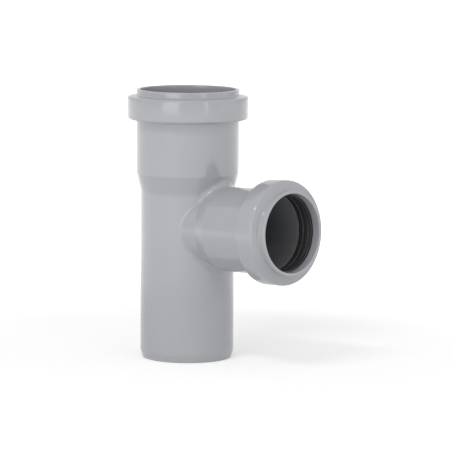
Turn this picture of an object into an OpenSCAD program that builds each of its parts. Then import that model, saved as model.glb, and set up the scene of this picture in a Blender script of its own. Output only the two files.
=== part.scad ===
// Drain pipe tee: a 50 mm run with a 40 mm branch set at 87.5 degrees, for push-fit pipe.
// The origin is the centre of the spigot's end face, +Z runs up to the run's socket mouth,
// and the branch leaves towards +X. All sizes are in millimetres.

/* [Run] */
// Outside diameter of the run's spigot and barrel
run_od = 50; // [47:1:54]
// Wall of the run's barrel
run_wall = 1.8; // [1.5:0.1:2.2]
// Height from the spigot's end face to the socket mouth
run_height = 144; // [141:1:170]
// Length of the straight spigot below the branch
spigot_len = 45; // [36:1:46]
// Length of the lead chamfer at the spigot's end
spigot_chamfer_len = 4; // [2:0.5:6]
// Depth of that chamfer, measured on the radius
spigot_chamfer_depth = 1.15; // [0.6:0.05:1.3]
// Growth of the barrel's radius above the spigot, from the mould's draft
barrel_draft = 0.06; // [0.02:0.01:0.15]

/* [Run socket] */
// Length from the mouth to the outer shoulder
run_socket_len = 44.6; // [38:0.2:46]
// Length of the conical shoulder below the socket
run_shoulder_len = 9.6; // [7:0.2:11]
// Wall of the socket's body
run_socket_wall = 2.35; // [2:0.05:2.8]
// Wall of the plain lip at the mouth
run_lip_wall = 1.95; // [1.5:0.05:2.4]
// Length of the plain lip in front of the bead
run_lip_len = 3; // [2:0.1:4.5]
// How far the bead stands out from the socket's body
run_bead_rise = 4.7; // [4.2:0.1:6]

/* [Branch] */
// Outside diameter of the branch's neck and of the pipe that the branch takes
branch_od = 40; // [32:1:42]
// Wall of the branch's neck
branch_wall = 1.8; // [1.5:0.1:2.2]
// Angle between the branch and the run
branch_angle = 87.5; // [84:0.5:90]
// Height at which the branch's axis leaves the run's axis
branch_height = 70.3; // [69:0.1:72]
// Length from the run's axis to the branch's mouth
branch_reach = 76.7; // [74:0.1:90]
// Radius of the fillet where the branch grows out of the run
saddle_radius = 3; // [2:0.1:4]

/* [Branch socket] */
// Length from the mouth to the outer shoulder
branch_socket_len = 44.4; // [38:0.2:46]
// Length of the conical shoulder behind the socket
branch_shoulder_len = 7.6; // [5:0.2:8]
// Wall of the socket's body
branch_socket_wall = 2.35; // [2:0.05:2.8]
// Wall of the plain lip at the mouth
branch_lip_wall = 1.7; // [1.5:0.05:2.4]
// Length of the plain lip in front of the bead
branch_lip_len = 3.5; // [2:0.1:4.5]
// How far the bead stands out from the socket's body
branch_bead_rise = 4.95; // [4.2:0.05:6]

/* [Both sockets] */
// Difference between a socket's bore and its pipe, on the diameter
socket_play = 0.4; // [0.35:0.05:0.8]
// Growth of a socket's outer radius from its shoulder to its bead, from the mould's draft
socket_draft = 0.15; // [0.02:0.01:0.3]
// Rounding of the edge between a socket's body and its shoulder
shoulder_round = 4; // [2:0.5:8]
// Distance from the shoulder's outer edge back to the edge of the pipe stop inside
stop_setback = 1; // [0.5:0.1:2]
// Extra radius of the bore in front of the seal, which guides the pipe in
mouth_relief = 0.45; // [0.2:0.05:0.7]
// Rounding of the mouth's rim
rim_round = 0.5; // [0.2:0.05:0.6]
// Length from the mouth to the back face of the bead
bead_back = 15.9; // [14.5:0.1:18]
// How far the bead's front face leans back towards its edge
bead_lean = 0.8; // [0.2:0.1:1.2]
// Rounding of the bead's front edge
bead_front_round = 1.4; // [0.6:0.1:1.8]
// Rounding of the bead's back edge
bead_back_round = 1.2; // [0.6:0.1:1.6]
// Fillets at the bead's two feet
bead_foot_round = 0.7; // [0.3:0.1:1]
// Wall of the bead outside the seal
groove_cover = 1.6; // [1.3:0.1:2]
// Wall of the bead in front of the seal and behind it
groove_side = 1.3; // [1.1:0.1:1.6]
// Rounding of the groove's two outer corners
groove_round = 0.8; // [0.3:0.1:1]

/* [Seals] */
// Clearance between a seal and the walls of its groove
seal_gap = 0.12; // [0.05:0.01:0.2]
// Clearance between the pressed-back lips and the pipe
lip_gap = 0.05; // [0.05:0.01:0.1]
// Radius of the rounded nose at the front of a seal
nose_round = 0.65; // [0.5:0.05:0.8]
// Depth of the channel behind the nose
channel_depth = 1; // [0.6:0.1:1.3]
// Distance from the front of a seal to the shoulder of its lip
lip_start = 3.6; // [3.2:0.1:4.2]
// How far the shoulder of the lip stands off the pipe
lip_stand = 0.4; // [0.2:0.05:0.6]
// Depth of the fine groove round the middle of the lip
lip_score = 0.25; // [0.1:0.05:0.4]
// Thickness of the lip at its free edge
lip_thick = 1.1; // [0.8:0.1:1.4]
// Thickness of the heel that lies against the groove
heel_thick = 2.2; // [1.6:0.1:2.6]

/* [Hidden] */
$fn = 96;

pipe_grey = [0.66, 0.67, 0.69];
rubber_black = [0.09, 0.09, 0.1];

// Radii of the run
run_r = run_od / 2;
run_bore_r = run_r - run_wall;
run_root_r = run_r + barrel_draft;
run_socket_r = run_r + socket_play / 2;
run_mouth_r = run_socket_r + mouth_relief;
run_body_r = run_socket_r + run_socket_wall;
run_lip_r = run_mouth_r + run_lip_wall;
run_bead_r = run_body_r + run_bead_rise;
run_groove_r = run_bead_r - groove_cover;

// Radii of the branch
branch_r = branch_od / 2;
branch_bore_r = branch_r - branch_wall;
branch_root_r = branch_r + barrel_draft;
branch_socket_r = branch_r + socket_play / 2;
branch_mouth_r = branch_socket_r + mouth_relief;
branch_body_r = branch_socket_r + branch_socket_wall;
branch_lip_r = branch_mouth_r + branch_lip_wall;
branch_bead_r = branch_body_r + branch_bead_rise;
branch_groove_r = branch_bead_r - groove_cover;

// Lengths that follow from the sockets
run_socket_root = run_socket_len + run_shoulder_len;
branch_socket_root = branch_socket_len + branch_shoulder_len;
groove_back = bead_back - groove_side;

// Small length by which a cut runs past the face it opens
overcut = 2;

// Slope of the branch's shoulder, and where it starts along the branch
branch_slope = atan((branch_body_r - socket_draft - branch_root_r) / branch_shoulder_len);
branch_shoulder_start = branch_reach - branch_socket_root;

// Saddle fillet: stations round the branch, and steps across the fillet
saddle_stations = 90;
saddle_steps = 6;
// Depth by which the fillet's two edges lie under the walls they run out on
saddle_sink = 0.05;
// Depth of the fillet's root inside the walls
saddle_root = 1.2;
// Rounds in which the ball's place is settled where it meets the branch's cone
settle_rounds = 6;
// Offset past the branch's neck from which the ball lies against the cone
cone_margin = 0.001;

// Corners of outlines

function unit(v) = v / norm(v);
function half_angle(a, b, c) = acos(unit(a - b) * unit(c - b)) / 2;
function tangent_point(a, b, c, r) = b + unit(a - b) * r / tan(half_angle(a, b, c));
function corner_centre(a, b, c, r) =
    b + unit(unit(a - b) + unit(c - b)) * r / sin(half_angle(a, b, c));

// Excess of a rounding's arc, so that it crosses both sides of its corner cleanly
arc_excess = 0.002;
// Excess of the bit past its sharp corner, so that none of its sides lies along the outline
corner_excess = 0.02;

// The bit of an outline between the sharp corner b and its rounding:
// taken off an outward corner, or added in an inward one
module corner_bit(a, b, c, r) {
    centre = corner_centre(a, b, c, r);
    tip = b + unit(b - centre) * corner_excess;
    difference() {
        polygon([tangent_point(a, b, c, r), tip, tangent_point(c, b, a, r)]);
        translate(centre) circle(r = r + arc_excess);
    }
}

// Sockets: x is the radius and y the height, with the mouth's face at y = 0

// Lean of the bead's front face for each millimetre of radius
function lean_rate(lip_r, bead_r) = bead_lean / (bead_r - lip_r);

// Outer form of a socket and of the pipe behind it, filled to the axis.
// The tail is the pipe's outline, from the end of the shoulder to the axis.
module socket_form(lip_r, bead_r, body_r, root_r, lip_len, socket_len, socket_root, tail) {
    rim_in = [0, 0];
    rim = [lip_r, 0];
    front_foot = [lip_r, -lip_len];
    front_edge = [bead_r, -lip_len - bead_lean];
    back_edge = [bead_r, -bead_back];
    back_foot = [body_r, -bead_back];
    shoulder_top = [body_r - socket_draft, -socket_len];
    shoulder_end = [root_r, -socket_root];
    rotate_extrude() {
        difference() {
            polygon(concat([rim_in, rim, front_foot, front_edge, back_edge, back_foot,
                shoulder_top, shoulder_end], tail));
            corner_bit(rim_in, rim, front_foot, rim_round);
            corner_bit(front_foot, front_edge, back_edge, bead_front_round);
            corner_bit(front_edge, back_edge, back_foot, bead_back_round);
            corner_bit(back_foot, shoulder_top, shoulder_end, shoulder_round);
        }
        corner_bit(rim, front_foot, front_edge, bead_foot_round);
        corner_bit(back_edge, back_foot, shoulder_top, bead_foot_round);
    }
}

// Space inside a socket: mouth, seal groove, bore, the cone that stops the pipe,
// and the waterway behind it down to the given depth
module socket_space(mouth_r, groove_r, bore_r, pipe_bore_r, lip_len, lean,
        stop_edge, stop_len, depth) {
    mouth_top = [mouth_r, overcut];
    rim_out = [mouth_r + overcut, 0];
    rim = [mouth_r, 0];
    groove_mouth = [mouth_r, -lip_len - groove_side];
    groove_front = [groove_r, -lip_len - groove_side - lean * (groove_r - mouth_r)];
    groove_rear = [groove_r, -groove_back];
    bore_top = [bore_r, -groove_back];
    bore_end = [bore_r, -stop_edge];
    stop_end = [pipe_bore_r, -stop_edge - stop_len];
    rotate_extrude() {
        difference() {
            polygon([[0, overcut], mouth_top, groove_mouth, groove_front, groove_rear,
                bore_top, bore_end, stop_end, [pipe_bore_r, -depth], [0, -depth]]);
            corner_bit(groove_mouth, groove_front, groove_rear, groove_round);
            corner_bit(groove_front, groove_rear, bore_top, groove_round);
        }
        corner_bit(rim_out, rim, groove_mouth, rim_round);
    }
}

// Length of the stop cone that lies parallel to the shoulder outside it
function stop_length(shoulder_len, bore_r, pipe_bore_r, shoulder_r, root_r) =
    shoulder_len * (bore_r - pipe_bore_r) / (shoulder_r - root_r);

// Places something in the branch's frame: its axis is the new +Z
module along_branch(distance) {
    translate([0, 0, branch_height]) rotate([0, branch_angle, 0])
        translate([0, 0, distance]) children();
}

// Run

module run_form() {
    chamfer_r = run_r - spigot_chamfer_depth;
    spigot_top = [run_r, spigot_len - run_height];
    chamfer_top = [run_r, spigot_chamfer_len - run_height];
    chamfer_end = [chamfer_r, -run_height];
    translate([0, 0, run_height])
        socket_form(run_lip_r, run_bead_r, run_body_r, run_root_r,
            run_lip_len, run_socket_len, run_socket_root,
            [spigot_top, chamfer_top, chamfer_end, [0, -run_height]]);
}

module run_space() {
    stop_edge = run_socket_len + stop_setback;
    stop_len = stop_length(run_shoulder_len, run_socket_r, run_bore_r,
        run_body_r - socket_draft, run_root_r);
    translate([0, 0, run_height])
        socket_space(run_mouth_r, run_groove_r, run_socket_r, run_bore_r,
            run_lip_len, lean_rate(run_lip_r, run_bead_r),
            stop_edge, stop_len, run_height + overcut);
}

// Branch

module branch_form() {
    along_branch(branch_reach)
        socket_form(branch_lip_r, branch_bead_r, branch_body_r, branch_root_r,
            branch_lip_len, branch_socket_len, branch_socket_root,
            [[branch_root_r, -branch_reach], [0, -branch_reach]]);
}

module branch_space() {
    stop_edge = branch_socket_len + stop_setback;
    stop_len = stop_length(branch_shoulder_len, branch_socket_r, branch_bore_r,
        branch_body_r - socket_draft, branch_root_r);
    along_branch(branch_reach)
        socket_space(branch_mouth_r, branch_groove_r, branch_socket_r, branch_bore_r,
            branch_lip_len, lean_rate(branch_lip_r, branch_bead_r),
            stop_edge, stop_len, branch_reach);
}

// Saddle: the hollow side of a ball rolled round the corner between run and branch.
// The angle turn goes round the branch's axis, from its top.

branch_dir = [sin(branch_angle), 0, cos(branch_angle)];
branch_up = [-cos(branch_angle), 0, sin(branch_angle)];
ball_lift = saddle_radius - saddle_sink;
ball_ring_r = run_r + ball_lift;

// Distance of the ball's centre from the branch's axis, at a place along the branch
function ball_offset(along) = branch_root_r + max(ball_lift,
    (along - branch_shoulder_start) * tan(branch_slope) + ball_lift / cos(branch_slope));
// Place along the branch where a ball at that offset touches the run
function ball_along(turn, offset) =
    (sqrt(pow(ball_ring_r, 2) - pow(offset * sin(turn), 2)) + offset * cos(turn) * cos(branch_angle))
    / sin(branch_angle);
function settled_offset(turn, offset, rounds) = rounds < 1 ? offset
    : settled_offset(turn, ball_offset(ball_along(turn, offset)), rounds - 1);

function outward(turn) = branch_up * cos(turn) + [0, sin(turn), 0];
function ball_centre(turn, offset) =
    [0, 0, branch_height] + branch_dir * ball_along(turn, offset) + outward(turn) * offset;
function to_run(centre) = -unit([centre.x, centre.y, 0]);
function to_branch(turn, offset) =
    offset > branch_root_r + ball_lift + cone_margin
    ? branch_dir * sin(branch_slope) - outward(turn) * cos(branch_slope)
    : -outward(turn);

// One section of the fillet: points across the hollow, then the root inside the walls
function saddle_section(turn) =
    let (
        offset = settled_offset(turn, branch_root_r + ball_lift, settle_rounds),
        centre = ball_centre(turn, offset),
        first = to_run(centre),
        last = to_branch(turn, offset),
        sweep = acos(first * last),
        corner = saddle_radius / cos(sweep / 2) + saddle_root
    )
    concat(
        [for (i = [0:saddle_steps]) let (a = sweep * i / saddle_steps)
            centre + (first * sin(sweep - a) + last * sin(a)) / sin(sweep) * saddle_radius],
        [centre + unit(first + last) * corner]
    );

module saddle_form() {
    ring = saddle_steps + 2;
    points = [for (k = [0:saddle_stations - 1]) each saddle_section(k * 360 / saddle_stations)];
    faces = [for (k = [0:saddle_stations - 1], i = [0:ring - 1])
        let (next = (k + 1) % saddle_stations, j = (i + 1) % ring)
        [k * ring + i, next * ring + i, next * ring + j, k * ring + j]];
    polyhedron(points = points, faces = faces, convexity = 6);
}

// Tee body: one moulding

module tee_body() {
    color(pipe_grey) difference() {
        union() {
            run_form();
            branch_form();
            saddle_form();
        }
        run_space();
        branch_space();
    }
}

// Seal rings: pressed back by the pipe, the lips stand at its surface

module seal_ring(pipe_r, mouth_r, groove_r, lip_len, lean) {
    front = -lip_len - groove_side - seal_gap;
    back = -groove_back + seal_gap;
    heel_r = groove_r - seal_gap;
    lip_r = pipe_r + lip_gap;
    nose_r = lip_r + nose_round;
    nose_y = front - 2 * nose_round + seal_gap;
    channel_r = lip_r + channel_depth;
    channel_y = nose_y - nose_round - channel_depth / 2;
    shoulder_r = lip_r + lip_stand;
    shoulder_y = front - lip_start;
    edge_r = lip_r + lip_thick / 2;
    edge_y = back + lip_thick / 2;
    score_y = (shoulder_y + edge_y) / 2;
    score_r = (shoulder_r + lip_r) / 2;
    face_r = nose_r + 2 * nose_round;
    face_y = front - lean * (face_r - mouth_r);
    heel_y = front - lean * (heel_r - mouth_r);
    root_r = heel_r - heel_thick;
    root_y = shoulder_y - lip_thick;
    rotate_extrude() {
        difference() {
            polygon([[nose_r, nose_y + nose_round], [nose_r, nose_y],
                [nose_r, nose_y - nose_round], [channel_r, channel_y],
                [shoulder_r, shoulder_y], [score_r, score_y + lip_score],
                [score_r + lip_score, score_y], [score_r, score_y - lip_score],
                [lip_r, edge_y], [lip_r + lip_thick, edge_y],
                [lip_r + lip_thick + lip_stand, root_y], [root_r, root_y],
                [root_r, back], [heel_r, back], [heel_r, heel_y], [face_r, face_y]]);
            corner_bit([root_r, back], [heel_r, back], [heel_r, heel_y], groove_round);
            corner_bit([heel_r, back], [heel_r, heel_y], [face_r, face_y], groove_round);
        }
        translate([nose_r, nose_y]) circle(r = nose_round);
        translate([edge_r, edge_y]) circle(r = lip_thick / 2);
    }
}

module run_seal_ring() {
    color(rubber_black) translate([0, 0, run_height])
        seal_ring(run_r, run_mouth_r, run_groove_r, run_lip_len,
            lean_rate(run_lip_r, run_bead_r));
}

module branch_seal_ring() {
    color(rubber_black) along_branch(branch_reach)
        seal_ring(branch_r, branch_mouth_r, branch_groove_r, branch_lip_len,
            lean_rate(branch_lip_r, branch_bead_r));
}

tee_body();
run_seal_ring();
branch_seal_ring();
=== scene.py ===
"""Grey push-fit drain tee with its rubber seal rings, on a pale floor in soft studio light."""

import math

import bmesh
import bpy
from mathutils import Matrix, Vector


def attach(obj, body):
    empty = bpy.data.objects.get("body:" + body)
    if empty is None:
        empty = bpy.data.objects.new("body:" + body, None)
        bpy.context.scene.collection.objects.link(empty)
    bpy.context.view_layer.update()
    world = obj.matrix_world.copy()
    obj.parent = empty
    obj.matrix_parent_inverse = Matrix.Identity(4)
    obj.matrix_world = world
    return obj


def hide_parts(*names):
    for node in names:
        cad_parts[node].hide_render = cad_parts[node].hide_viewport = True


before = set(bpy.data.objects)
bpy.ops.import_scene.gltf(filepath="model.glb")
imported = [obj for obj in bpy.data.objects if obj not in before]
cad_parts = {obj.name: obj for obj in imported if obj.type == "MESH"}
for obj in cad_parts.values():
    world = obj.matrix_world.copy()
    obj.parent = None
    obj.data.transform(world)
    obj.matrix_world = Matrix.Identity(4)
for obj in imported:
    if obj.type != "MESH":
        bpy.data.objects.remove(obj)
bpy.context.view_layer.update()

MM = 0.001

# Camera, at the photograph's angle
VIEW_TURN = 45.518
VIEW_RISE = 7.197
VIEW_DISTANCE = 1602.807 * MM
VIEW_TARGET = Vector((0.0, 0.0, 75.0)) * MM
VIEW_YAW = 0.719
VIEW_PITCH = 0.141
VIEW_ROLL = -0.272
FOCAL_PIXELS = 2994.04
PHOTO_WIDTH = 450
SENSOR_WIDTH = 36.0

# Light that the walls of the studio throw on the object from all round
WORLD_LIGHT = 0.515
# Lamps: name, turn and rise in degrees, distance, width and height in metres, power in watts
LAMPS = (
    ("front_left_softbox", 78, 0, 1.5, 0.85, 1.4, 7.0),
    ("right_softbox", -40, 12, 1.6, 1.2, 1.4, 2.3),
    ("right_strip", 10.7, 12, 1.6, 0.08, 1.2, 1.3),
    ("top_softbox", 45, 55, 1.6, 1.2, 1.0, 0.8),
    ("key_lamp", 74, 50, 1.6, 0.7, 0.16, 4.0),
)

# Colours
GREY_LOW = (0.428, 0.434, 0.460, 1)
GREY_HIGH = (0.450, 0.456, 0.482, 1)
# Painted shade: darker grey that the deep inner walls of the bores go over to
GREY_PAINTED_SHADE = (0.17, 0.173, 0.183, 1)
RUBBER_LOW = (0.040, 0.040, 0.042, 1)
RUBBER_HIGH = (0.056, 0.056, 0.059, 1)
FLOOR_WHITE = (0.92, 0.92, 0.92, 1)
WHITE = (1, 1, 1, 1)

# Floor: its radius, and the distances from the object between which it fades to white
FLOOR_RADIUS = 6.0
FLOOR_FADE = (0.12, 0.5)
FLOOR_GLOW = 0.35


def direction(turn, rise):
    """Direction seen from the object, in degrees: turned from the branch's side to the front."""
    a, e = math.radians(turn), math.radians(rise)
    return Vector((math.cos(a) * math.cos(e), -math.sin(a) * math.cos(e), math.sin(e)))


def make_camera():
    outward = direction(VIEW_TURN, VIEW_RISE)
    right = Vector((0, 0, 1)).cross(outward).normalized()
    up = outward.cross(right)
    aimed = Matrix((right, up, outward))
    nudge = (
        Matrix.Rotation(math.radians(VIEW_ROLL), 3, "Z")
        @ Matrix.Rotation(math.radians(VIEW_PITCH), 3, "X")
        @ Matrix.Rotation(math.radians(VIEW_YAW), 3, "Y")
    )
    data = bpy.data.cameras.new("photo_camera")
    data.sensor_width = SENSOR_WIDTH
    data.lens = FOCAL_PIXELS / PHOTO_WIDTH * SENSOR_WIDTH
    data.clip_end = 50.0
    camera = bpy.data.objects.new("photo_camera", data)
    turned = (nudge @ aimed).transposed().to_4x4()
    camera.matrix_world = Matrix.Translation(VIEW_TARGET + outward * VIEW_DISTANCE) @ turned
    bpy.context.scene.collection.objects.link(camera)
    bpy.context.scene.camera = camera


def new_material(name):
    material = bpy.data.materials.new(name)
    material.use_nodes = True
    nodes = material.node_tree.nodes
    return material, nodes, material.node_tree.links, nodes["Principled BSDF"]


# Materials


def noise(nodes, links, coords, scale, detail, roughness=0.5):
    node = nodes.new("ShaderNodeTexNoise")
    node.inputs["Scale"].default_value = scale
    node.inputs["Detail"].default_value = detail
    node.inputs["Roughness"].default_value = roughness
    links.new(coords, node.inputs["Vector"])
    return node.outputs["Fac"]


def remap(nodes, links, value, low, high):
    node = nodes.new("ShaderNodeMapRange")
    node.inputs["From Min"].default_value = 0.3
    node.inputs["From Max"].default_value = 0.7
    node.inputs["To Min"].default_value = low
    node.inputs["To Max"].default_value = high
    links.new(value, node.inputs["Value"])
    return node.outputs["Result"]


def seen(nodes, links):
    """1 for rays from the camera, and for those that glossy and clear surfaces pass on."""
    path = nodes.new("ShaderNodeLightPath")
    total = path.outputs["Is Camera Ray"]
    for kind in ("Is Glossy Ray", "Is Transmission Ray"):
        node = nodes.new("ShaderNodeMath")
        node.operation = "MAXIMUM"
        links.new(total, node.inputs[0])
        links.new(path.outputs[kind], node.inputs[1])
        total = node.outputs[0]
    return total


def pipe_plastic():
    """Moulded grey polypropylene: an even colour with painted shade deep inside the bores, a soft
    sheen and a faint unevenness.
    """
    material, nodes, links, shader = new_material("grey_polypropylene")
    coords = nodes.new("ShaderNodeTexCoord").outputs["Object"]
    cloud = noise(nodes, links, coords, 45.0, 3.0)
    mix = nodes.new("ShaderNodeMix")
    mix.data_type = "RGBA"
    mix.inputs["A"].default_value = GREY_LOW
    mix.inputs["B"].default_value = GREY_HIGH
    links.new(remap(nodes, links, cloud, 0.0, 1.0), mix.inputs["Factor"])
    # Painted shade: the base colour goes over to the darker grey deep inside the bores, by the
    # vertex layer's factor
    painted_shade_layer = nodes.new("ShaderNodeAttribute")
    painted_shade_layer.attribute_name = PAINTED_SHADE_NAME
    shade = nodes.new("ShaderNodeMix")
    shade.data_type = "RGBA"
    shade.inputs["B"].default_value = GREY_PAINTED_SHADE
    links.new(mix.outputs["Result"], shade.inputs["A"])
    links.new(painted_shade_layer.outputs["Fac"], shade.inputs["Factor"])
    links.new(shade.outputs["Result"], shader.inputs["Base Color"])
    patches = noise(nodes, links, coords, 90.0, 4.0)
    links.new(remap(nodes, links, patches, 0.13, 0.16), shader.inputs["Roughness"])
    grain = noise(nodes, links, coords, 2200.0, 2.0)
    bump = nodes.new("ShaderNodeBump")
    bump.inputs["Strength"].default_value = 0.02
    bump.inputs["Distance"].default_value = 0.05 * MM
    links.new(grain, bump.inputs["Height"])
    links.new(bump.outputs["Normal"], shader.inputs["Normal"])
    shader.inputs["IOR"].default_value = 1.49
    shader.inputs["Specular IOR Level"].default_value = 0.7
    return material


def seal_rubber():
    """Black rubber, smooth and slightly wet from its lubricant."""
    material, nodes, links, shader = new_material("seal_rubber")
    coords = nodes.new("ShaderNodeTexCoord").outputs["Object"]
    smears = noise(nodes, links, coords, 60.0, 3.0)
    links.new(remap(nodes, links, smears, 0.26, 0.36), shader.inputs["Roughness"])
    mix = nodes.new("ShaderNodeMix")
    mix.data_type = "RGBA"
    mix.inputs["A"].default_value = RUBBER_LOW
    mix.inputs["B"].default_value = RUBBER_HIGH
    links.new(remap(nodes, links, smears, 0.0, 1.0), mix.inputs["Factor"])
    links.new(mix.outputs["Result"], shader.inputs["Base Color"])
    shader.inputs["IOR"].default_value = 1.5
    return material


def floor_white():
    """Pale floor that keeps the object's shadow, and shows white to the camera further out."""
    material, nodes, links, shader = new_material("pale_floor")
    shader.inputs["Base Color"].default_value = FLOOR_WHITE
    shader.inputs["Roughness"].default_value = 0.9
    shader.inputs["Specular IOR Level"].default_value = 0.0
    coords = nodes.new("ShaderNodeTexCoord").outputs["Object"]
    length = nodes.new("ShaderNodeVectorMath")
    length.operation = "LENGTH"
    links.new(coords, length.inputs[0])
    fade = nodes.new("ShaderNodeMapRange")
    fade.interpolation_type = "SMOOTHSTEP"
    fade.inputs["From Min"].default_value = FLOOR_FADE[0]
    fade.inputs["From Max"].default_value = FLOOR_FADE[1]
    fade.inputs["To Min"].default_value = FLOOR_GLOW
    fade.inputs["To Max"].default_value = 1.0
    links.new(length.outputs["Value"], fade.inputs["Value"])
    glow = nodes.new("ShaderNodeMath")
    glow.operation = "MULTIPLY"
    links.new(fade.outputs["Result"], glow.inputs[0])
    links.new(seen(nodes, links), glow.inputs[1])
    links.new(glow.outputs[0], shader.inputs["Emission Strength"])
    shader.inputs["Emission Color"].default_value = WHITE
    return material


# Sizes of the moulding, in millimetres, as in the part itself

PIPE_WALL = 1.8
DRAFT = 0.06
SPIGOT_LEN = 45.0
CHAMFER_LEN = 4.0
CHAMFER_DEPTH = 1.15
BRANCH_ANGLE = math.radians(87.5)
BRANCH_HEIGHT = 70.3
SADDLE_RADIUS = 3.0

SOCKET_PLAY = 0.4
SOCKET_DRAFT = 0.15
STOP_SETBACK = 1.0
MOUTH_RELIEF = 0.45
RIM_ROUND = 0.5
SHOULDER_ROUND = 4.0
SHOULDER_FOOT_ROUND = 5.0
BEAD_BACK = 15.9
BEAD_LEAN = 0.8
BEAD_FRONT_ROUND = 1.4
BEAD_BACK_ROUND = 1.2
BEAD_FOOT_ROUND = 0.7
GROOVE_COVER = 1.6
GROOVE_SIDE = 1.3
GROOVE_ROUND = 0.8
EDGE_ROUND = 0.15

# Rounding of the edge where the branch opens into the run's waterway
JUNCTION_EDGE = 0.4
# Width over which the rolling ball goes over from a straight wall to a cone
SWITCH = 0.35

# Sizes of the seals
SEAL_GAP = 0.12
LIP_GAP = 0.05
NOSE_ROUND = 0.65
CHANNEL_DEPTH = 1.0
LIP_START = 3.6
LIP_STAND = 0.4
LIP_SCORE = 0.25
LIP_THICK = 1.1
HEEL_THICK = 2.2
RUBBER_ROUND = 0.12

# Depths inside a mouth between which painted shade darkens the inner walls, and the name of the
# painted shade layer
PAINTED_SHADE_START, PAINTED_SHADE_END = 5.0, 22.0
PAINTED_SHADE_NAME = "painted_shade"

# Facets round the run and round the branch, and rows across a rounding
RUN_FACETS = 128
BRANCH_FACETS = 192
ARC_ROWS = 5
# Window in the run's walls that the branch's mesh fills: half its facets, and its rows
WINDOW_FACETS = 24
WINDOW_ROWS = 48
PATCH_ROWS = 9
FILLET_ROWS = 8
NECK_ROWS = 4
# Least distance between two rows, and within which two points are one
ROW_GAP = 0.03
SAME_POINT = 0.002
SHARP_ANGLE = math.radians(40)
# How much closer together the rows round the window lie near its edge
PATCH_EASE = 1.5
# Margin of a window within which the outline's own rows give way
WINDOW_MARGIN = 0.3
# Places along the branch between which the rolling ball is sought, and rounds of the search
FILLET_REACH = (5.0, 45.0)
FILLET_ROUNDS = 50
# Ends of the outer walls that the fillet and the windows lie on: before the sockets' beads
RUN_WALL_END = 110.0
BRANCH_WALL_END = 55.0
# Rows of the branch's wall that the fillet can cover: the neck's and the shoulder's
COVERED_ROWS = NECK_ROWS - 1 + 2 * (ARC_ROWS + 1)


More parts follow.
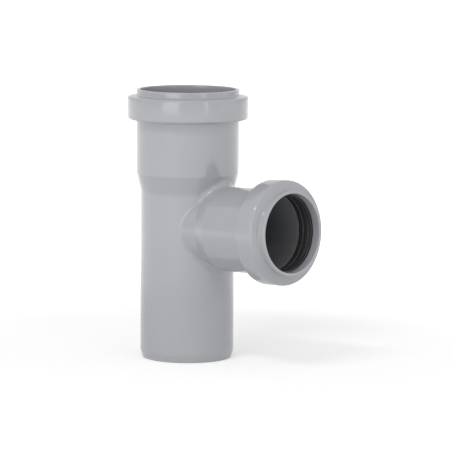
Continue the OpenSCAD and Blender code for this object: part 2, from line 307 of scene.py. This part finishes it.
class Socket:
    """Radii and heights of one socket; mouth is the place of its face along its axis."""

    def __init__(self, pipe_od, mouth, length, shoulder, wall, lip_wall, lip_len, bead_rise):
        self.pipe_r = pipe_od / 2
        self.bore_r = self.pipe_r - PIPE_WALL
        self.root_r = self.pipe_r + DRAFT
        self.socket_r = self.pipe_r + SOCKET_PLAY / 2
        self.mouth_r = self.socket_r + MOUTH_RELIEF
        self.body_r = self.socket_r + wall
        self.lip_r = self.mouth_r + lip_wall
        self.bead_r = self.body_r + bead_rise
        self.groove_r = self.bead_r - GROOVE_COVER
        self.mouth, self.lip_len = mouth, lip_len
        self.shoulder_top = mouth - length
        self.shoulder_end = mouth - length - shoulder
        self.top_r = self.body_r - SOCKET_DRAFT
        self.slope = math.atan((self.top_r - self.root_r) / shoulder)
        self.stop_edge = self.shoulder_top - STOP_SETBACK
        drop = shoulder * (self.socket_r - self.bore_r) / (self.top_r - self.root_r)
        self.stop_end = self.stop_edge - drop

    def outside(self):
        """Outline from the shoulder's foot to the mouth's rim: radius, height, rounding."""
        back = self.mouth - BEAD_BACK
        front = self.mouth - self.lip_len
        return [
            (self.root_r, self.shoulder_end, SHOULDER_FOOT_ROUND),
            (self.top_r, self.shoulder_top, SHOULDER_ROUND),
            (self.body_r, back, BEAD_FOOT_ROUND),
            (self.bead_r, back, BEAD_BACK_ROUND),
            (self.bead_r, front - BEAD_LEAN, BEAD_FRONT_ROUND),
            (self.lip_r, front, BEAD_FOOT_ROUND),
            (self.lip_r, self.mouth, RIM_ROUND),
            (self.mouth_r, self.mouth, RIM_ROUND),
        ]

    def inside(self):
        """Outline from the groove to the end of the pipe stop."""
        front = self.mouth - self.lip_len - GROOVE_SIDE
        lean = BEAD_LEAN * (self.groove_r - self.mouth_r) / (self.bead_r - self.lip_r)
        back = self.mouth - BEAD_BACK + GROOVE_SIDE
        return [
            (self.mouth_r, front, EDGE_ROUND),
            (self.groove_r, front - lean, GROOVE_ROUND),
            (self.groove_r, back, GROOVE_ROUND),
            (self.socket_r, back, EDGE_ROUND),
            (self.socket_r, self.stop_edge, EDGE_ROUND),
            (self.bore_r, self.stop_end, EDGE_ROUND),
        ]


    def seal(self):
        """Closed outline of the seal ring, from its nose down the lips and up the heel."""
        lean = BEAD_LEAN / (self.bead_r - self.lip_r)
        front = self.mouth - self.lip_len - GROOVE_SIDE - SEAL_GAP
        back = self.mouth - BEAD_BACK + GROOVE_SIDE + SEAL_GAP
        lip_r = self.pipe_r + LIP_GAP
        nose_r = lip_r + NOSE_ROUND
        nose_y = front - 2 * NOSE_ROUND + SEAL_GAP
        channel_r = lip_r + CHANNEL_DEPTH
        channel_y = nose_y - NOSE_ROUND - CHANNEL_DEPTH / 2
        shoulder_r, shoulder_y = lip_r + LIP_STAND, front - LIP_START
        score_r, score_y = lip_r + LIP_STAND / 2, (shoulder_y + back + LIP_THICK / 2) / 2
        root_y = shoulder_y - LIP_THICK
        heel_r = self.groove_r - SEAL_GAP
        root_r = heel_r - HEEL_THICK
        face_r = nose_r + 2 * NOSE_ROUND
        return [
            (lip_r, nose_y + NOSE_ROUND, NOSE_ROUND),
            (lip_r, nose_y - NOSE_ROUND, NOSE_ROUND),
            (nose_r, nose_y - NOSE_ROUND, 0.0),
            (channel_r, channel_y, RUBBER_ROUND),
            (shoulder_r, shoulder_y, RUBBER_ROUND),
            (score_r, score_y + LIP_SCORE, 0.0),
            (score_r + LIP_SCORE, score_y, 0.0),
            (score_r, score_y - LIP_SCORE, 0.0),
            (lip_r, back, LIP_THICK / 2),
            (lip_r + LIP_THICK, back, LIP_THICK / 2),
            (lip_r + LIP_THICK + LIP_STAND, root_y, RUBBER_ROUND),
            (root_r, root_y, RUBBER_ROUND),
            (root_r, back, RUBBER_ROUND),
            (heel_r, back, GROOVE_ROUND),
            (heel_r, front - lean * (heel_r - self.mouth_r), GROOVE_ROUND),
            (face_r, front - lean * (face_r - self.mouth_r), RUBBER_ROUND),
            (nose_r, nose_y + NOSE_ROUND, 0.0),
        ]


RUN = Socket(50.0, 144.0, 44.6, 9.6, 2.35, 1.95, 3.0, 4.7)
BRANCH = Socket(40.0, 76.7, 44.4, 7.6, 2.35, 1.7, 3.5, 4.95)


def rounded(corners, closed=False):
    """The outline through the corners (radius, height, rounding), each rounding as an arc."""
    out = []
    count = len(corners)
    for k, (r, z, size) in enumerate(corners):
        b = Vector((r, z))
        if not closed and k in (0, count - 1):
            out.append(b)
            continue
        a = Vector(corners[k - 1][:2]) - b
        c = Vector(corners[(k + 1) % count][:2]) - b
        half = a.angle(c) / 2
        reach = min(size / math.tan(half), 0.49 * a.length, 0.49 * c.length)
        start, end = b + a.normalized() * reach, b + c.normalized() * reach
        radius = reach * math.tan(half)
        centre = b + (a.normalized() + c.normalized()).normalized() * radius / math.sin(half)
        for i in range(ARC_ROWS + 1):
            spoke = (start - centre).slerp(end - centre, i / ARC_ROWS) if radius else Vector((0, 0))
            out.append(centre + spoke * radius)
    return out


# Branch's axis: its direction, the direction square to it in the plane of symmetry, its root
BRANCH_DIR = Vector((math.sin(BRANCH_ANGLE), 0, math.cos(BRANCH_ANGLE)))
BRANCH_UP = Vector((-math.cos(BRANCH_ANGLE), 0, math.sin(BRANCH_ANGLE)))
BRANCH_ROOT = Vector((0, 0, BRANCH_HEIGHT))

# Walls as outlines of points (radius, height)
FOOT = (BRANCH.root_r, BRANCH.shoulder_end - 3.0, 0.0)
THROAT = (BRANCH.bore_r, BRANCH.stop_end - 2.0, 0.0)
BRANCH_OUTSIDE = [p for p in rounded([FOOT] + BRANCH.outside()) if p.y < BRANCH_WALL_END]
BRANCH_WALL = rounded([FOOT] + BRANCH.outside() + BRANCH.inside() + [THROAT])[1:]
RUN_OUTSIDE = rounded([(RUN.pipe_r, SPIGOT_LEN, 0)] + RUN.outside())
RUN_WALL = [p for p in RUN_OUTSIDE if p.y < RUN_WALL_END]
RUN_BORE = rounded([(RUN.bore_r, 0, 0)] + list(reversed(RUN.inside()))[:3])

# Heights of the windows in the run's outer and inner wall, which the branch's mesh fills
WINDOW_LOW, WINDOW_HIGH = SPIGOT_LEN, RUN.shoulder_top - 0.8
INNER_LOW, INNER_HIGH = 47.0, 96.0


def outward(turn):
    """Direction off the branch's axis; turn starts at its top and goes towards +Y."""
    return BRANCH_UP * math.cos(turn) + Vector((0, math.sin(turn), 0))


def branch_point(turn, along, radius):
    return BRANCH_ROOT + BRANCH_DIR * along + outward(turn) * radius


def smooth_switch(value, width):
    t = min(max(value / width * 0.5 + 0.5, 0.0), 1.0)
    return t * t * (3 - 2 * t)


def wall_radius(outline, height):
    """Radius of an outline (radius, height), rising or falling in height, at that height."""
    points = sorted((p[1], p[0]) for p in outline)
    for (z0, r0), (z1, r1) in zip(points, points[1:]):
        if z0 <= height <= z1 and z1 > z0:
            return r0 + (r1 - r0) * (height - z0) / (z1 - z0)
    return points[0][1] if height < points[0][0] else points[-1][1]


def ball_on_branch(along):
    """Offset of the rolling ball's centre off the branch's axis, and its contact's tilt."""
    neck = BRANCH.root_r + SADDLE_RADIUS
    cone = (
        BRANCH.root_r
        + (along - BRANCH.shoulder_end) * math.tan(BRANCH.slope)
        + SADDLE_RADIUS / math.cos(BRANCH.slope)
    )
    return max(neck, cone), smooth_switch(cone - neck, SWITCH) * BRANCH.slope


def gap_to_run(point):
    """Distance of a point off the run's wall, and the tilt of the wall there."""
    radius = math.hypot(point.x, point.y)
    barrel = radius - RUN.root_r
    cone_r = RUN.root_r + (point.z - RUN.shoulder_end) * math.tan(RUN.slope)
    cone = (radius - cone_r) * math.cos(RUN.slope)
    return min(barrel, cone), smooth_switch(barrel - cone, SWITCH) * RUN.slope


def fillet_section(turn):
    """Points of the saddle fillet at that turn, from the run's wall to the branch's."""
    low, high = FILLET_REACH
    for _ in range(FILLET_ROUNDS):
        along = (low + high) / 2
        offset, branch_tilt = ball_on_branch(along)
        centre = branch_point(turn, along, offset)
        gap, run_tilt = gap_to_run(centre)
        if gap < SADDLE_RADIUS:
            low = along
        else:
            high = along
    level = Vector((centre.x, centre.y, 0)).normalized()
    first = -(level * math.cos(run_tilt) - Vector((0, 0, math.sin(run_tilt))))
    last = -(outward(turn) * math.cos(branch_tilt) - BRANCH_DIR * math.sin(branch_tilt))
    points = [
        centre + first.slerp(last, i / FILLET_ROWS) * SADDLE_RADIUS
        for i in range(FILLET_ROWS + 1)
    ]
    # Both ends lie on the walls that they run out on
    foot, end = points[0], points[-1]
    level = Vector((foot.x, foot.y, 0)).normalized() * wall_radius(RUN_WALL, foot.z)
    points[0] = Vector((level.x, level.y, foot.z))
    along = (end - BRANCH_ROOT).dot(BRANCH_DIR)
    points[-1] = branch_point(turn, along, wall_radius(BRANCH_OUTSIDE, along))
    return points


def window_edge(low, high):
    """Turn about the run and height of each point round a window, one for each branch facet."""
    side = WINDOW_FACETS * 2 * math.pi / RUN_FACETS
    half, rows = WINDOW_FACETS, WINDOW_ROWS
    step = (high - low) / rows
    out = []
    for j in range(BRANCH_FACETS):
        if j <= half:
            out.append((side * j / half, high))
        elif j <= half + rows:
            out.append((side, high - step * (j - half)))
        elif j <= 3 * half + rows:
            out.append((side * (1 - (j - half - rows) / half), low))
        elif j <= 3 * half + 2 * rows:
            out.append((-side, low + step * (j - 3 * half - rows)))
        else:
            out.append((side * (j - BRANCH_FACETS) / half, high))
    return out


def patch(edge, inner, outline, ease):
    """Rows on the run's wall from the window's edge towards the point inner."""
    turn1, z1 = math.atan2(inner.y, inner.x), inner.z
    turn0, z0 = edge
    rows = []
    for i in range(PATCH_ROWS):
        t = 1 - (1 - i / PATCH_ROWS) ** ease
        turn, z = turn0 + (turn1 - turn0) * t, z0 + (z1 - z0) * t
        r = wall_radius(outline, z)
        rows.append(Vector((r * math.cos(turn), r * math.sin(turn), z)))
    return rows


def run_outline():
    """Closed outline of the run's wall, up the outside and down the inside."""
    corners = [
        (RUN.bore_r, 0.0, EDGE_ROUND),
        (RUN.pipe_r - CHAMFER_DEPTH, 0.0, EDGE_ROUND),
        (RUN.pipe_r, CHAMFER_LEN, 1.0),
        (RUN.pipe_r, SPIGOT_LEN, EDGE_ROUND),
    ]
    return rounded(corners + RUN.outside() + RUN.inside(), closed=True)


def window_heights(low, high):
    return [low + (high - low) * i / WINDOW_ROWS for i in range(WINDOW_ROWS + 1)]


def junction(turn, radius, shift=0.0):
    """Point where a cylinder about the branch's axis meets the run's waterway."""
    across = radius * math.sin(turn)
    level = math.sqrt(RUN.bore_r**2 - across**2)
    along = (level + radius * math.cos(turn) * math.cos(BRANCH_ANGLE)) / math.sin(BRANCH_ANGLE)
    return branch_point(turn, along + shift, radius)


def branch_column(turn, outer_edge, inner_edge):
    """Points of the branch's wall at one turn, from the run's outside to its waterway."""
    fillet = fillet_section(turn)
    points = patch(outer_edge, fillet[0], RUN_WALL, PATCH_EASE) + fillet
    contact = (fillet[-1] - BRANCH_ROOT).dot(BRANCH_DIR)
    neck = BRANCH_WALL[0].y - contact
    rows = [(BRANCH.root_r, contact + neck * i / NECK_ROWS) for i in range(1, NECK_ROWS)]
    for i, (radius, along) in enumerate(rows + [tuple(p) for p in BRANCH_WALL]):
        # Where the fillet covers a row, the row lies close behind the fillet's end
        behind = contact + ROW_GAP * (i + 1)
        if along < behind and i < COVERED_ROWS:
            along, radius = behind, wall_radius(BRANCH_OUTSIDE, behind)
        points.append(branch_point(turn, along, radius))
    corner = junction(turn, BRANCH.bore_r)
    before = junction(turn, BRANCH.bore_r, JUNCTION_EDGE)
    after = junction(turn, BRANCH.bore_r + JUNCTION_EDGE)
    points += [before, (before + corner * 2 + after) / 4]
    points += reversed(patch(inner_edge, after, RUN_BORE, 1.0) + [after])
    return points


def spun(bm, outline, tags, origin, axis, facets):
    """Turns an outline of points into a closed wall round an axis; tags number its rows."""
    row = bm.verts.layers.int["row"]
    points = [bm.verts.new(p) for p in outline]
    for point, tag in zip(points, tags):
        point[row] = tag
    edges = [bm.edges.new(pair) for pair in zip(points, points[1:])]
    closed = tags[0] < 0
    if closed:
        edges.append(bm.edges.new((points[-1], points[0])))
    bmesh.ops.spin(
        bm,
        geom=points + edges,
        cent=origin,
        axis=axis,
        angle=2 * math.pi,
        steps=facets,
        use_merge=True,
    )


def build_tee_body():
    """The one moulding: the run is spun with two windows, which the branch's wall joins."""
    outline, outer_rows, inner_rows = [], set(), set()
    for p in run_outline():
        outer = p.x > wall_radius(RUN_WALL, p.y) - PIPE_WALL / 2
        if outer and WINDOW_LOW - WINDOW_MARGIN < p.y < WINDOW_HIGH + WINDOW_MARGIN:
            if not outer_rows:
                for z in window_heights(WINDOW_LOW, WINDOW_HIGH):
                    outer_rows.add(len(outline))
                    outline.append((wall_radius(RUN_WALL, z), z))
        elif not outer and INNER_LOW - WINDOW_MARGIN < p.y < INNER_HIGH + WINDOW_MARGIN:
            if not inner_rows:
                for z in reversed(window_heights(INNER_LOW, INNER_HIGH)):
                    inner_rows.add(len(outline))
                    outline.append((wall_radius(RUN_BORE, z), z))
        else:
            outline.append((p.x, p.y))

    bm = bmesh.new()
    # Painted shade: a vertex layer of how much the inner walls are darkened
    painted_shade_layer = bm.verts.layers.float.new(PAINTED_SHADE_NAME)
    row = bm.verts.layers.int.new("row")
    rim = max(k for k, (r, z) in enumerate(outline) if z > RUN.mouth - RIM_ROUND)
    tags = [-1 - k for k in range(len(outline))]
    spun(bm, [(r, 0, z) for r, z in outline], tags, (0, 0, 0), (0, 0, 1), RUN_FACETS)

    side = WINDOW_FACETS * 2 * math.pi / RUN_FACETS
    outer_tags, inner_tags = {-1 - k for k in outer_rows}, {-1 - k for k in inner_rows}
    cut = []
    for face in bm.faces:
        rows = {v[row] for v in face.verts}
        centre = face.calc_center_median()
        facing = abs(math.atan2(centre.y, centre.x)) < side
        if facing and (rows <= outer_tags or rows <= inner_tags):
            cut.append(face)
    bmesh.ops.delete(bm, geom=cut, context="FACES")

    outer_edge = window_edge(WINDOW_LOW, WINDOW_HIGH)
    inner_edge = window_edge(INNER_LOW, INNER_HIGH)
    columns = []
    for j in range(BRANCH_FACETS):
        turn = 2 * math.pi * j / BRANCH_FACETS
        columns.append(branch_column(turn, outer_edge[j], inner_edge[j]))
    tags = range(1, len(columns[0]) + 1)
    spun(bm, columns[0], list(tags), BRANCH_ROOT, BRANCH_DIR, BRANCH_FACETS)
    for v in bm.verts:
        if v[row] > 0:
            off = v.co - BRANCH_ROOT
            turn = math.atan2(off.y, off.dot(BRANCH_UP))
            j = round(turn * BRANCH_FACETS / (2 * math.pi)) % BRANCH_FACETS
            v.co = columns[j][v[row] - 1]

    reach = [(p - BRANCH_ROOT).dot(BRANCH_DIR) for p in columns[0]]
    branch_rim = max(k for k, along in enumerate(reach) if along > BRANCH.mouth - RIM_ROUND)
    # Painted shade: vertices of the inner walls past each rim get how much they are darkened
    for v in bm.verts:
        if v[row] < -1 - rim or v[row] > 1 + branch_rim:
            v[painted_shade_layer] = painted_shade(v.co)
    bm.verts.layers.int.remove(row)
    bmesh.ops.remove_doubles(bm, verts=bm.verts, dist=SAME_POINT)
    bmesh.ops.recalc_face_normals(bm, faces=bm.faces)
    return bm


def painted_shade(point):
    """How much painted shade darkens the inner wall at a point: 0 at the mouths, 1 deep inside."""
    off = point - BRANCH_ROOT
    along = off.dot(BRANCH_DIR)
    if along > RUN.bore_r + 1.0 and abs(off.dot(BRANCH_UP)) < BRANCH.groove_r + 1.0:
        depth = BRANCH.mouth - along
    else:
        depth = min(RUN.mouth - point.z, point.z)
    t = min(max((depth - PAINTED_SHADE_START) / (PAINTED_SHADE_END - PAINTED_SHADE_START), 0.0), 1.0)
    return t * t * (3 - 2 * t)


def build_seal(socket, place, origin, axis):
    """A seal ring, spun from its outline round its socket's axis."""
    bm = bmesh.new()
    bm.verts.layers.int.new("row")
    outline = [place(p.y, p.x) for p in rounded(socket.seal(), closed=True)]
    spun(bm, outline, [-1] * len(outline), origin, axis, BRANCH_FACETS)
    bm.verts.layers.int.remove(bm.verts.layers.int["row"])
    bmesh.ops.remove_doubles(bm, verts=bm.verts, dist=SAME_POINT)
    bmesh.ops.recalc_face_normals(bm, faces=bm.faces)
    return bm


# Stage


def make_floor():
    mesh = bpy.data.meshes.new("floor")
    bm = bmesh.new()
    bmesh.ops.create_circle(bm, cap_ends=True, segments=96, radius=FLOOR_RADIUS)
    bm.to_mesh(mesh)
    bm.free()
    floor = bpy.data.objects.new("floor", mesh)
    bpy.context.scene.collection.objects.link(floor)
    mesh.materials.append(floor_white())


def make_world():
    world = bpy.data.worlds.new("studio")
    bpy.context.scene.world = world
    world.use_nodes = True
    nodes, links = world.node_tree.nodes, world.node_tree.links
    background = nodes["Background"]
    background.inputs["Color"].default_value = WHITE
    strength = nodes.new("ShaderNodeMapRange")
    strength.inputs["To Max"].default_value = 1.0
    links.new(seen(nodes, links), strength.inputs["Value"])
    strength.inputs["To Min"].default_value = WORLD_LIGHT
    links.new(strength.outputs["Result"], background.inputs["Strength"])


def softbox(name, turn, rise, distance, width, height, power):
    """An area lamp that faces the object; turn is measured from the branch, like the camera's."""
    data = bpy.data.lights.new(name, "AREA")
    data.shape = "RECTANGLE"
    data.size = width
    data.size_y = height
    data.energy = power
    lamp = bpy.data.objects.new(name, data)
    outward = direction(turn, rise)
    lamp.location = VIEW_TARGET + outward * distance
    lamp.rotation_euler = outward.to_track_quat("Z", "Y").to_euler()
    bpy.context.scene.collection.objects.link(lamp)


def make_lights():
    for lamp in LAMPS:
        softbox(*lamp)


def finished(name, bm, material, node):
    """Makes a piece of a mesh in millimetres, which stands for a node and rides with it."""
    bmesh.ops.scale(bm, vec=(MM, MM, MM), verts=bm.verts)
    for face in bm.faces:
        face.smooth = True
    mesh = bpy.data.meshes.new(name)
    bm.to_mesh(mesh)
    bm.free()
    mesh.set_sharp_from_angle(angle=SHARP_ANGLE)
    mesh.materials.append(material)
    piece = bpy.data.objects.new(name, mesh)
    bpy.context.scene.collection.objects.link(piece)
    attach(piece, "root")
    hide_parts(node)
    return piece


bpy.context.scene.view_settings.view_transform = "Standard"
make_camera()
make_floor()
make_world()
make_lights()

plastic = pipe_plastic()
rubber = seal_rubber()
finished("tee_moulding", build_tee_body(), plastic, "tee_body")
run_seal = build_seal(RUN, lambda z, r: Vector((r, 0, z)), (0, 0, 0), (0, 0, 1))
branch_seal = build_seal(
    BRANCH, lambda along, r: branch_point(0.0, along, r), BRANCH_ROOT, BRANCH_DIR
)
finished("run_seal", run_seal, rubber, "run_seal_ring")
finished("branch_seal", branch_seal, rubber, "branch_seal_ring")
